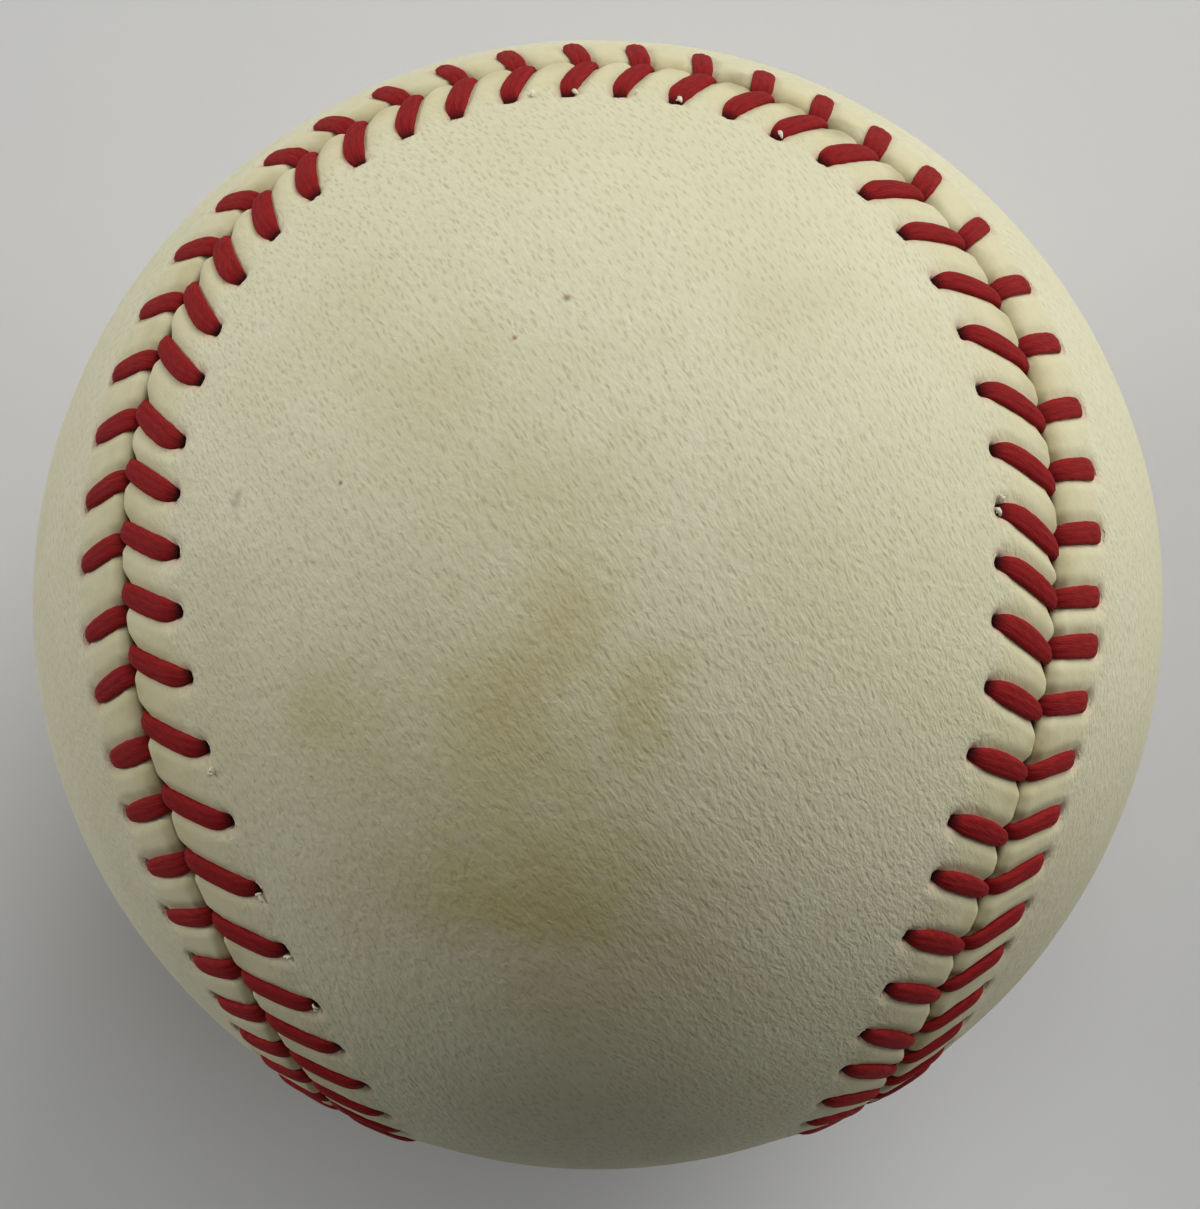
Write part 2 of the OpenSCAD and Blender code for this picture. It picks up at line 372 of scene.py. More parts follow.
def buildPanel(side, name):
    columns = cover["columns"]*stitchLay["stitches"]
    everyColumn = np.arange(columns)
    way = everyColumn*seamLength/columns
    edge = panelEdge(way, side)
    rows, faces = [], []

    def addRow(pick, reach, radius, line=cover["farMark"], hole=cover["farMark"], drop=0.0):
        first = sum(len(row["numbers"]) for row in rows)
        marks = {"reach": reach, "line": line, "hole": hole, "drop": drop, "radius": radius}
        row = {title: np.broadcast_to(values, len(pick)) for title, values in marks.items()}
        row["points"] = besideSeam(way[pick], row["reach"], side)*row["radius"][:, None]
        row["numbers"] = list(range(first, first + len(pick)))
        rows.append(row)
        return row["numbers"]

    # the outside, from deep in the seam over the rolled edge and past the holes
    width = cover["lipWidth"]
    outside = [(edge + width*(1 - math.cos(a)), cover["lipDrop"]*(1 - math.sin(a)))
               for a in np.linspace(0, math.pi/2, cover["lipSteps"] + 1)]
    outside += [(width + edge*(1 - share)**2 + share*(cover["smoothReach"] - width), 0.0)
                for share in np.linspace(0, 1, cover["rows"] + 1)[1:]]
    for reach, drop in outside:
        height, line, hole = leatherRelief(way, reach, side)
        creases = unevenHeight(besideSeam(way, reach, side), cover["creases"])
        height = height + creases*(1 - ease(reach, *cover["creaseFade"]))
        addRow(everyColumn, reach, ballRadius + height - drop, line, hole, drop)
    for lower, upper in zip(rows, rows[1:]):
        faces += ringFaces(lower["numbers"], upper["numbers"])
    outerLoop = rows[-1]["numbers"]
    for merged, step in cover["outerMerges"]:
        finer, outerLoop = outerLoop, addRow(everyColumn[::merged], cover["smoothReach"] + step, ballRadius)
        faces += halvingFaces(finer, outerLoop)
    reachLimit = cover["smoothReach"] + step
    loopPlaces = unit(rows[-1]["points"])

    # the underside, from the cut edge inwards
    underRadius = coverInside + cover["lining"]
    innerLoop = addRow(everyColumn, edge + cover["undercut"], underRadius, drop=cover["lipDrop"])
    faces += ringFaces(rows[0]["numbers"], innerLoop)
    for merged, step in cover["underMerges"]:
        pick = everyColumn[::merged]
        finer, innerLoop = innerLoop, addRow(pick, edge[pick] + step, underRadius)
        faces += halvingFaces(finer, innerLoop)
    finer, innerLoop = innerLoop, addRow(pick, reachLimit, underRadius)
    faces += ringFaces(finer, innerLoop)

    # the smooth field of both faces, joined to the rows by triangles
    field = smoothPoints(side, reachLimit + cover["fieldClear"]*cover["spacing"])
    loopCount, fieldCount = len(loopPlaces), len(field)
    chart = panelChart(np.concatenate([loopPlaces, field]), side)
    onlyInside, nearest = 1, 1e-4    # of the loop; mm at which two points would be one
    _, _, triangles, origins, _, _ = delaunay_2d_cdt(
        [Vector(p) for p in chart.tolist()], [], [list(range(loopCount))], onlyInside, nearest)
    start = sum(len(row["numbers"]) for row in rows)
    for loop, shift in ((outerLoop, start), (innerLoop, start + fieldCount)):
        number = [loop[o[0]] if o[0] < loopCount else shift + o[0] - loopCount for o in origins]
        faces += [tuple(number[c] for c in t) for t in triangles]

    def everyPoint(title, inField):
        return np.concatenate([row[title] for row in rows] + [np.full(2*fieldCount, inField)])

    points = np.concatenate([row["points"] for row in rows] + [field*ballRadius, field*underRadius])
    directions = unit(points)
    reachAll = everyPoint("reach", reachLimit)
    outer = np.linalg.norm(points, axis=1) > ballRadius - cover["skin"]
    dents = unevenHeight(directions, cover["dents"])*outer*ease(reachAll, *cover["dentFade"])
    hide = np.column_stack([panelChart(directions, side), np.full(len(points), cover["hideShift"]*side)])
    return makePiece(
        name, points + directions*dents[:, None], faces,
        seamReach=reachAll, stitchLine=everyPoint("line", cover["farMark"]),
        holeWay=everyPoint("hole", cover["farMark"]), lipDepth=everyPoint("drop", 0.0), hidePlace=hide)


# The thread: one laid bundle for each stitch, out of its hole, over the leather and down into the seam

thread = {
    "width": 1.34,      # mm across the fullest part
    "height": 0.62,
    "top": 0.1,         # mm from the ball's surface to the middle of the bundle
    "dive": 1.15,       # mm that its ends go below the surface
    "rounding": 4.2,    # higher is squarer at the two ends
    "fullness": 0.8,    # lower is squarer in the cross-section
    "rings": 28,
    "topSides": 16,
    "underSides": 8,
    "ragged": 0.05,     # share that the width wanders
    "raggedWave": 2.3,  # how fast it does, for each mm
    "plyDepth": 0.035,  # mm that the furrows between its plies go down
    "plyWidth": 0.13,   # of a furrow, as a share of the half width, like the next three
    "plyPlaces": (-0.36, 0.34),
    "plyTwist": 0.35,
    "plyStray": 0.25,
    "plyRise": (0.05, 0.25),    # shares of a stitch between which the furrows come in
    "plyShade": 0.22,
    "darkEnd": (0.8, 1.2),  # mm along a stitch between which its end's dirt and painted shade fade
    "seamShade": (0.7, 0.8, 0.97),  # how dark in the seam, and the shares between which it comes
    "lineSteps": 60,    # of a stitch's even line, which gives its heading
    "swingSteps": 401,  # of its whole way up, over and down
}
# Width and height along a stitch, from its hole to the seam, as shares: places, then values.
# Each row has two shapes: the first panel's turns from broad to pointed with the pull, the second's
# from a leaf to a square end.
alongPlaces = (0, 0.1, 0.17, 0.25, 0.4, 0.6, 0.75, 0.86, 1)
broadWidth = (0.45, 0.6, 0.82, 0.98, 1.02, 1.0, 0.92, 0.78, 0.5)
pointedWidth = (0.42, 0.56, 0.76, 0.93, 1.0, 0.96, 0.76, 0.46, 0.22)
leafWidth = (0.3, 0.42, 0.58, 0.74, 0.92, 1.02, 1.0, 0.9, 0.6)
squareWidth = (0.45, 0.66, 0.88, 0.98, 1.0, 0.96, 0.92, 0.8, 0.55)
heightAlong = (0.6, 0.85, 0.92, 0.97, 1.0, 1.0, 0.97, 0.88, 0.6)


def stitchLine(k, side, share):
    row = stitchRows[side]
    reach = row["reach"][k]*(1 - share) + stitchLay["endReach"]*share
    return besideSeam(lineWay(row, k, share), reach, side)


def stitchRings(k, side):
    # the middle line of one stitch: its share of the way to the seam, how high and how far along it
    swing = np.linspace(0, math.pi, thread["swingSteps"])
    power = 2/thread["rounding"]
    share = 0.5 - 0.5*np.sign(np.cos(swing))*np.abs(np.cos(swing))**power
    high = -thread["dive"] + (thread["top"] + thread["dive"])*np.sin(swing)**power
    line = stitchLine(k, side, share)*(ballRadius + high)[:, None]
    along = np.concatenate([[0], np.cumsum(np.linalg.norm(np.diff(line, axis=0), axis=1))])
    wanted = np.linspace(0, along[-1], thread["rings"])
    return np.interp(wanted, along, share), np.interp(wanted, along, high), wanted


def stitchWidth(k, side, along, share):
    row = stitchRows[side]
    pull = row["pull"][k]
    loose, tight = (broadWidth, pointedWidth) if side > 0 else (leafWidth, squareWidth)
    wide = (1 - pull)*smoothTable(share, alongPlaces, loose) + pull*smoothTable(share, alongPlaces, tight)
    # the last two values only set the stitches and the rows apart
    wander = [noise.noise(Vector((thread["raggedWave"]*x, 9.1*k, 5.0*side))) for x in along]
    return wide*thread["width"]/2*row["size"][k]*(1 + thread["ragged"]*np.array(wander))


def buildStitches(side, name):
    row = stitchRows[side]
    topAngles = np.linspace(0, math.pi, thread["topSides"] + 1)
    underAngles = np.linspace(math.pi, 2*math.pi, thread["underSides"] + 1)[1:-1]
    angles = np.concatenate([topAngles, underAngles])
    cross = np.cos(angles)
    bulge = np.sign(np.sin(angles))*np.abs(np.sin(angles))**thread["fullness"]
    sides, rings = len(angles), thread["rings"]
    evenShare = np.linspace(0, 1, thread["lineSteps"])
    points, faces, shades, places = [], [], [], []
    for k in range(stitchLay["stitches"]):
        at, high, along = stitchRings(k, side)
        slopes = np.gradient(stitchLine(k, side, evenShare), axis=0)
        heading = np.stack([np.interp(at, evenShare, c) for c in slopes.T], axis=-1)
        out = stitchLine(k, side, at)
        middle = out*(ballRadius + high)[:, None]
        lateral = unit(np.cross(out, heading))
        forward = unit(np.gradient(middle, axis=0))
        upward = unit(np.cross(forward, lateral))
        share = along/along[-1]
        wide = stitchWidth(k, side, along, share)
        tall = smoothTable(share, alongPlaces, heightAlong)*thread["height"]/2
        # furrows between the plies, on the upper side only
        twist = thread["plyTwist"]*(share - 0.5)[:, None] + thread["plyStray"]*(row["mark"][k] - 0.5)
        furrow = sum(np.exp(-((cross - ply - twist)/thread["plyWidth"])**2) for ply in thread["plyPlaces"])
        furrow = furrow*(np.sin(angles) > 0.05)*ease(share, *thread["plyRise"])[:, None]
        heightHere = tall[:, None]*bulge - thread["plyDepth"]*furrow
        sideHere = wide[:, None]*cross
        ring = middle[:, None] + lateral[:, None]*sideHere[..., None] + upward[:, None]*heightHere[..., None]
        faces += tubeFaces(sum(len(p) for p in points), rings, sides)
        points += [ring.reshape(-1, 3), middle[:1], middle[-1:]]
        # painted shade: the thread darkens down in the seam and in the furrows between its plies; its end at
        # the hole darkens from dirt and painted shade
        dark, start, end = thread["seamShade"]
        shade = np.maximum(1 - ease(along, *thread["darkEnd"]), dark*ease(share, start, end))
        shade = np.clip(np.repeat(shade, sides) + thread["plyShade"]*furrow.ravel(), 0, 1)
        shades += [shade, np.ones(2)]
        # for the fibres: along, round, and a place of its own for each stitch
        place = np.stack([
            np.repeat(along, sides), sideHere.ravel() + 0.5*heightHere.ravel(),
            np.full(rings*sides, 7.0*row["mark"][k] + 20*side)], axis=-1)
        places += [place, place[:1], place[-1:]]
    return makePiece(name, np.concatenate(points), faces,
                     threadShade=np.concatenate(shades), threadPlace=np.concatenate(places))


# The torn lips of the holes: a thin ragged rim beyond each thread's end, and a few flakes pulled up

frays = {
    "rimRadius": 0.58,  # mm
    "rimThickness": 0.045,
    "rimSpread": 1.9,   # radians that a whole rim goes round the hole's outer end
    "rimShares": (0.45, 1.0),       # of it that is left
    "rimTurn": 0.35,    # radians that a rim strays to one side
    "rimShift": 0.1,    # mm beyond the hole to the middle of its rim
    "rimSizes": (0.85, 1.1),        # least and most shares of its radius
    "rimThicknesses": (0.5, 1.2),   # and of its thickness
    "rimEnd": 0.12,     # how far it is from ending in a point
    "rimRings": 13,
    "sides": 8,
    "leastRadius": 0.01,  # mm
    "flakeSize": 0.26,
    "flakeSizes": (0.6, 1.2),
    "flakeLift": 0.14,
    "flakeArch": 0.07,  # mm that a flake's middle stands above its ends
    "flakeFullness": 0.42,
    "flakeStray": 0.12,
    "flakeRings": 11,
    "deepest": -0.12,   # mm below the ball's surface that they may follow the leather
    "seed": 23,
}
# Flakes beside the first panel's holes: the place in stitch numbers and the reach from the seam in mm
flakePlaces = [
    (95.7, 5.3), (95.9, 5.1), (103.9, 4.9), (105.8, 4.9), (106.6, 5.0), (107.7, 5.0), (0.5, 4.9),
    (15.2, 5.2), (17.2, 5.2), (18.2, 5.2), (19.2, 5.1),
]


def onLeather(way, reach, side, above):
    height = np.maximum(leatherRelief(way, reach, side)[0], frays["deepest"]) + above
    return besideSeam(way, reach, side)*(ballRadius + height)[:, None]


def addTube(points, faces, line, radii):
    # a closed tube round a line of points, tapering as its radii do
    sides = frays["sides"]
    radii = np.maximum(radii, frays["leastRadius"])
    out = unit(line)
    across = unit(np.cross(out, np.gradient(line, axis=0)))
    turn = np.arange(sides)*2*math.pi/sides
    ring = line[:, None] + radii[:, None, None]*(
        across[:, None]*np.cos(turn)[:, None] + out[:, None]*np.sin(turn)[:, None])
    faces += tubeFaces(sum(len(p) for p in points), len(line), sides)
    points += [ring.reshape(-1, 3), line[:1], line[-1:]]


def buildFrays():
    dice = np.random.default_rng(frays["seed"])
    points, faces = [], []
    count = frays["rimRings"]
    for side in (1, -1):
        row = stitchRows[side]
        for k in range(stitchLay["stitches"]):
            spread = frays["rimSpread"]*dice.uniform(*frays["rimShares"])
            middle = dice.normal(0, frays["rimTurn"])
            angle = np.linspace(middle - spread/2, middle + spread/2, count)
            size = frays["rimRadius"]*dice.uniform(*frays["rimSizes"])*(1 + dice.normal(0, 0.05, count))
            reach = row["reach"][k] + frays["rimShift"] + size*np.cos(angle)
            line = onLeather(row["way"][k] + size*np.sin(angle), reach, side, 0.0)
            taper = np.sin(np.linspace(frays["rimEnd"], math.pi - frays["rimEnd"], count))**0.6
            thick = frays["rimThickness"]*dice.uniform(*frays["rimThicknesses"])
            addTube(points, faces, line, thick*taper*(1 + dice.normal(0, 0.2, count)))
    run = np.linspace(-1, 1, frays["flakeRings"])
    for number, reach in flakePlaces:
        for _ in range(2):
            size = frays["flakeSize"]*dice.uniform(*frays["flakeSizes"])
            slant = dice.uniform(0, 2*math.pi)
            way = pitch*(number + stitchLay["firstStitch"]) + dice.normal(0, frays["flakeStray"])
            away = reach + dice.normal(0, frays["flakeStray"])
            line = onLeather(way + run*size*math.cos(slant), away + run*size*math.sin(slant), 1,
                             frays["flakeLift"])
            arch = frays["flakeArch"]*np.cos(2.2*run) + dice.normal(0, 0.004, len(run))
            line = line + unit(line)*arch[:, None]
            addTube(points, faces, line, size*frays["flakeFullness"]*np.sqrt(1 - 0.97*run**2))
    return makePiece("leather_frays", np.concatenate(points), faces)


# Shader helpers and effects shared by several materials

def giveInputs(tree, node, inputs):
    # a socket is linked, anything else is set as the input's value
    for title, value in inputs.items():
        if isinstance(value, bpy.types.NodeSocket):
            tree.links.new(value, node.inputs[title])
        else:
            node.inputs[title].default_value = value
    return node


def addNode(tree, kind, inputs=None, **settings):
    node = tree.nodes.new("ShaderNode" + kind)
    for title, value in settings.items():
        setattr(node, title, value)
    return giveInputs(tree, node, inputs or {})


def calculate(tree, operation, a, b=0.0):
    return addNode(tree, "Math", {0: a, 1: b}, operation=operation).outputs[0]


def times(tree, a, b):
    return calculate(tree, "MULTIPLY", a, b)


def vectorMath(tree, operation, a, b=(0.0, 0.0, 0.0), output="Vector"):
    return addNode(tree, "VectorMath", {0: a, 1: b}, operation=operation).outputs[output]


def splitPlace(tree, where):
    return addNode(tree, "SeparateXYZ", {0: where}).outputs


def joinPlace(tree, x, y, z=0.0):
    return addNode(tree, "CombineXYZ", {0: x, 1: y, 2: z}).outputs[0]


def clouds(tree, where, scale, detail, roughness=0.5, output="Fac"):
    return addNode(tree, "TexNoise", {
        "Vector": where, "Scale": scale, "Detail": detail, "Roughness": roughness}).outputs[output]


def fade(tree, value, low, high, start=0.0, end=1.0):
    node = addNode(tree, "MapRange", {
        "Value": value, "From Min": low, "From Max": high, "To Min": start, "To Max": end},
        interpolation_type="SMOOTHSTEP")
    return node.outputs["Result"]


def mixColour(tree, amount, a, b):
    sockets = {0: amount, 6: a, 7: b}    # the mix node's colour ones
    return addNode(tree, "Mix", sockets, data_type="RGBA", clamp_factor=True).outputs[2]


def tone(tree, colour, towards, mask, share):
    return mixColour(tree, times(tree, mask, share), colour, towards)


def rgb(red, green, blue):
    # a colour as a screen shows it, from 0 to 255
    def linear(c):
        c = c/255
        return c/12.92 if c <= 0.04045 else ((c + 0.055)/1.055)**2.4
    return (linear(red), linear(green), linear(blue), 1.0)


def newEffect(name, inputs, outputs):
    # an input is a number with its usual value, or a place where that is None; the outputs are numbers
    tree = bpy.data.node_groups.new(name, "ShaderNodeTree")
    for title, value in inputs.items():
        kind = "NodeSocketVector" if value is None else "NodeSocketFloat"
        socket = tree.interface.new_socket(title, in_out="INPUT", socket_type=kind)
        if value is not None:
            socket.default_value = value
    for title in outputs:
        tree.interface.new_socket(title, in_out="OUTPUT", socket_type="NodeSocketFloat")
    return tree, tree.nodes.new("NodeGroupInput").outputs, tree.nodes.new("NodeGroupOutput")


def useEffect(tree, name, inputs):
    return addNode(tree, "Group", inputs, node_tree=bpy.data.node_groups[name]).outputs


def mottle(tree, where, scale, low=0.35, high=0.65):
    inputs = {"Place": where, "Scale": scale, "Low": low, "High": high}
    return useEffect(tree, "Mottle", inputs)["Mask"]


def makeHideGrain():
    # leather grain for a chart in millimetres: soft ripples drawn out one way, and short narrow pits
    tree, given, out = newEffect(
        "HideGrain", {"Place": None, "Turn": 0.5, "Length": 0.67, "Width": 0.5, "PitShare": 0.5},
        ["Pit", "Pebble", "Height"])
    turned = addNode(tree, "VectorRotate", {"Vector": given["Place"], "Angle": given["Turn"]},
                     rotation_type="Z_AXIS")
    x, y, z = splitPlace(tree, turned.outputs[0])
    cell = joinPlace(tree, calculate(tree, "DIVIDE", x, given["Length"]),
                     calculate(tree, "DIVIDE", y, given["Width"]), z)
    drift = clouds(tree, given["Place"], 0.8, 2.0, output="Color")
    shifted = vectorMath(tree, "ADD", cell, drift)
    pores = addNode(tree, "TexVoronoi", {"Vector": shifted, "Scale": 1.0, "Randomness": 1.0},
                    voronoi_dimensions="2D").outputs
    narrow = (1.0, 1.7, 0.0)    # a pore is narrower sideways, and its depth doesn't count
    toPore = vectorMath(tree, "MULTIPLY", vectorMath(tree, "SUBTRACT", shifted, pores["Position"]), narrow)
    inPore = calculate(tree, "DIVIDE", vectorMath(tree, "LENGTH", toPore, output="Value"), given["PitShare"])
    strength = fade(tree, splitPlace(tree, pores["Color"])[0], 0.0, 1.0, 0.25, 1.0)
    pit = times(tree, fade(tree, inPore, 1.0, 0.1), strength)
    ripples = times(tree, clouds(tree, shifted, 1.1, 2.0, 0.55), 2.5)
    pebbles = clouds(tree, given["Place"], 3.4, 2.0, 0.65)
    height = calculate(tree, "ADD", times(tree, pit, -0.35), ripples)
    height = calculate(tree, "ADD", height, times(tree, pebbles, 0.4))
    giveInputs(tree, out, {"Pit": pit, "Pebble": fade(tree, pebbles, 0.55, 0.35), "Height": height})


def makeSoftSpot():
    # a blotch with a swayed, feathered edge round one place on the ball
    tree, given, out = newEffect(
        "SoftSpot", {"Place": None, "Centre": None, "Size": 0.006, "Unevenness": 0.5}, ["Mask"])
    swing = vectorMath(tree, "SUBTRACT", clouds(tree, given["Place"], 150.0, 3.0, output="Color"),
                       (0.5, 0.5, 0.5))
    amount = times(tree, given["Size"], times(tree, given["Unevenness"], 3.0))
    swing = addNode(tree, "VectorMath", {0: swing, "Scale": amount}, operation="SCALE").outputs[0]
    moved = vectorMath(tree, "ADD", given["Place"], swing)
    away = vectorMath(tree, "DISTANCE", moved, given["Centre"], output="Value")
    rough = calculate(tree, "SUBTRACT", clouds(tree, given["Place"], 1100.0, 2.0), 0.5)
    share = calculate(tree, "ADD", calculate(tree, "DIVIDE", away, given["Size"]),
                      times(tree, rough, given["Unevenness"]))
    giveInputs(tree, out, {"Mask": fade(tree, share, 1.0, 0.0)})


def makeMottle():
    # broad uneven toning for any surface, as a mask from 0 to 1
    tree, given, out = newEffect(
        "Mottle", {"Place": None, "Scale": 60.0, "Low": 0.35, "High": 0.65}, ["Mask"])
    cloud = clouds(tree, given["Place"], given["Scale"], 4.0, 0.55)
    giveInputs(tree, out, {"Mask": fade(tree, cloud, given["Low"], given["High"])})


def makeFibres():
    # fine strands along a place's first axis
    tree, given, out = newEffect(
        "Fibres", {"Place": None, "Along": 1.0, "Across": 12.0}, ["Strand", "Height"])
    x, y, z = splitPlace(tree, given["Place"])
    slant = calculate(tree, "ADD", y, times(tree, x, 0.12))    # the strands' twist
    stretched = joinPlace(tree, times(tree, x, given["Along"]), times(tree, slant, given["Across"]), z)
    strands = clouds(tree, stretched, 1.0, 3.0, 0.6)
    giveInputs(tree, out, {"Strand": fade(tree, strands, 0.3, 0.7), "Height": strands})


def makeWoundYarn():
    # yarn wound over a ball in crossing turns: in each patch the turns go round an axis of its own
    tree, given, out = newEffect(
        "WoundYarn", {"Place": None, "Turns": 60.0, "Twist": 300.0}, ["Height", "Gap", "Strand"])
    patches = addNode(tree, "TexVoronoi", {
        "Vector": given["Place"], "Scale": 45.0, "Randomness": 1.0}).outputs
    axis = vectorMath(tree, "NORMALIZE", vectorMath(tree, "SUBTRACT", patches["Color"], (0.5, 0.5, 0.5)))
    across = vectorMath(tree, "DOT_PRODUCT", given["Place"], axis, output="Value")
    wave = calculate(tree, "ABSOLUTE", calculate(tree, "SINE", times(tree, across, given["Turns"])))
    strand = clouds(tree, given["Place"], given["Twist"], 3.0)
    giveInputs(tree, out, {"Height": wave, "Gap": fade(tree, wave, 0.35, 0.0), "Strand": strand})


for makeEffect in (makeHideGrain, makeSoftSpot, makeMottle, makeFibres, makeWoundYarn):
    makeEffect()


def newMaterial(name, roughness, specular):
    material = bpy.data.materials.new(name)
    material.use_nodes = True
    tree = material.node_tree
    shader = tree.nodes["Principled BSDF"]
    return material, tree, giveInputs(tree, shader, {"Roughness": roughness, "Specular IOR Level": specular})


def attribute(tree, title, output="Fac"):
    return addNode(tree, "Attribute", attribute_name=title).outputs[output]


def objectPlace(tree):
    return addNode(tree, "TexCoord").outputs["Object"]


def addBump(tree, shader, height, strength, distance):
    bump = addNode(tree, "Bump", {"Strength": strength, "Distance": distance, "Height": height})
    giveInputs(tree, shader, {"Normal": bump.outputs[0]})


# Leather: cream, grained away from the seam, soiled by hands

leatherLooks = {
    "base": rgb(219, 215, 185),
    "deep": rgb(208, 202, 164),
    "crease": rgb(168, 156, 108),
    "pillow": rgb(210, 201, 156),
    "stain": rgb(188, 174, 118),
    "speck": rgb(122, 66, 44),
    "torn": rgb(232, 226, 204),
    "hollowDarkening": rgb(122, 112, 86),
    "grooveDirtAndShade": rgb(74, 64, 38),
    "holeDirtAndShade": rgb(38, 24, 20),
    "seamTint": rgb(176, 160, 110),
    "dyeAndContactShade": rgb(196, 132, 118),
    "grainTurn": 0.49,
    "grainLength": 0.74,  # mm
    "grainWidth": 0.4,
    "pitShare": 0.56,   # of the grain's length
    "grainTone": 0.43,  # how much the pits darken the leather
    "pebbleTone": 0.25,
    "grainHeight": 0.045,  # mm
    "broadTone": 0.45,
    "fineTone": 0.25,
    "pillowTone": 0.5,
    "seamTintTone": 0.6,
    "lineDyeAndShade": 0.1,
    "holeDyeAndShade": 0.2,
}
# Where the leather's effects come in and die away, in mm from the seam, a stitch or a hole
leatherFades = {
    "grain": (1.5, 5.5),  # from the seam, as the next three
    "pillow": (5.4, 3.4),
    "seamTinted": (2.6, 0.4),
    "dyeAndShade": (7.0, 5.8),
    "lineDyeAndShade": (1.0, 0.65),
    "holeDyeAndShade": (0.95, 0.4),
    "holeDirtAndShade": (0.46, 0.24),
    "grooveDirtAndShade": (0.35, 0.85),     # down from the ball's surface
}
# Soiled places of the first panel: across and up on the ball in mm, size and strength
handStains = [
    (-0.6, 2.9, 4.0, 0.55), (-1.6, 0.2, 3.6, 0.5), (-3.8, -3.4, 4.6, 0.55), (3.2, -3.2, 4.4, 0.5),
    (-14.2, -3.4, 4.5, 0.35), (-5.0, -13.6, 6.0, 0.6), (-1.4, -14.4, 5.5, 0.55), (-3.0, -10.5, 16.0, 0.55),
    (5.0, -12.0, 7.0, 0.2), (-11.5, -11.0, 8.0, 0.15), (-0.6, 8.8, 6.0, 0.25), (-8.0, 13.6, 6.0, 0.22),
    (-13.0, 18.0, 6.0, 0.15), (11.6, 18.0, 7.0, 0.18), (-6.0, 4.0, 14.0, 0.12), (2.0, -20.0, 9.0, 0.2),
]
# Small brown specks on the first panel: across, up, size and strength
brownSpecks = [
    (-0.7, 18.4, 0.36, 0.7), (-3.5, 16.3, 0.24, 0.8), (-19.0, 7.8, 0.55, 0.4), (-18.8, 8.3, 0.4, 0.35),
    (-15.7, 11.5, 0.24, 0.4), (-12.9, 8.8, 0.22, 0.8),
]
# Darker patches in the hollows beside the seam: across, up, size and strength
hollows = [(9.8, 32.0, 2.6, 0.75), (14.7, 29.0, 3.0, 0.65), (12.4, 30.6, 1.8, 0.6), (18.7, 25.8, 1.8, 0.35)]


def frontPlace(across, up):
    rise = math.sqrt(ballRadius**2 - across**2 - up**2)
    return (across*mm, up*mm, rise*mm)


def spotMask(tree, where, spots, unevenness):
    # several soft spots, laid over one another
    clear = 1.0
    for across, up, size, strength in spots:
        spot = useEffect(tree, "SoftSpot", {
            "Place": where, "Centre": frontPlace(across, up), "Size": size*mm, "Unevenness": unevenness})
        left = calculate(tree, "SUBTRACT", 1.0, times(tree, spot["Mask"], strength))
        clear = times(tree, clear, left)
    return calculate(tree, "SUBTRACT", 1.0, clear)


def makeLeather(name, stains, specks):
    looks = leatherLooks
    material, tree, shader = newMaterial(name, 0.6, 0.3)

    def near(away, title):
        return fade(tree, away, *leatherFades[title])

    where = objectPlace(tree)
    marks = ("seamReach", "stitchLine", "holeWay", "lipDepth")
    reach, line, hole, lip = [attribute(tree, title) for title in marks]
    grain = useEffect(tree, "HideGrain", {
        "Place": attribute(tree, "hidePlace", "Vector"), "Turn": looks["grainTurn"],
        "Length": looks["grainLength"], "Width": looks["grainWidth"], "PitShare": looks["pitShare"]})
    grained = fade(tree, reach, *leatherFades["grain"], 0.2, 1.0)
    broad = mottle(tree, where, 38.0)
    fine = mottle(tree, where, 240.0, 0.3, 0.75)
    colour = tone(tree, looks["base"], looks["deep"], broad, looks["broadTone"])
    colour = tone(tree, colour, looks["deep"], fine, looks["fineTone"])
    colour = tone(tree, colour, looks["deep"], grain["Pebble"], looks["pebbleTone"])
    colour = tone(tree, colour, looks["crease"], grain["Pit"], times(tree, grained, looks["grainTone"]))
    # the leather between the stitches is stretched smooth and has yellowed
    colour = tone(tree, colour, looks["pillow"], near(reach, "pillow"), looks["pillowTone"])
    if stains:
        colour = mixColour(tree, spotMask(tree, where, stains, 0.4), colour, looks["stain"])
        colour = mixColour(tree, spotMask(tree, where, specks, 0.15), colour, looks["speck"])
    # darker patches in the hollows beside the seam
    colour = mixColour(tree, spotMask(tree, where, hollows, 0.6), colour, looks["hollowDarkening"])
    # a darker yellow-brown tint near the seam; pink dye rubbed off the thread, with painted contact shade
    # under it; dirt and painted shade in the groove and the holes
    # a darker yellow-brown tint near the seam, uneven along it
    seamTinted = times(tree, near(reach, "seamTinted"), fine)
    colour = tone(tree, colour, looks["seamTint"], seamTinted, looks["seamTintTone"])
    # pink dye rubbed off the thread, with painted contact shade under the stitches and round the holes
    dyeAndShade = calculate(tree, "ADD", times(tree, near(line, "lineDyeAndShade"), looks["lineDyeAndShade"]),
                      times(tree, near(hole, "holeDyeAndShade"), looks["holeDyeAndShade"]))
    colour = tone(tree, colour, looks["dyeAndContactShade"], dyeAndShade, near(reach, "dyeAndShade"))
    # dirt and painted shade, darker the deeper the leather goes down into the seam's groove
    colour = mixColour(tree, near(lip, "grooveDirtAndShade"), colour, looks["grooveDirtAndShade"])
    # dirt and painted shade in the holes, darkest at their middles
    colour = mixColour(tree, near(hole, "holeDirtAndShade"), colour, looks["holeDirtAndShade"])
    rough = fade(tree, fine, 0.0, 1.0, 0.58, 0.7)
    giveInputs(tree, shader, {"Base Color": colour, "Roughness": rough})
    addBump(tree, shader, times(tree, grain["Height"], grained), 0.8, looks["grainHeight"]*mm)
    return material


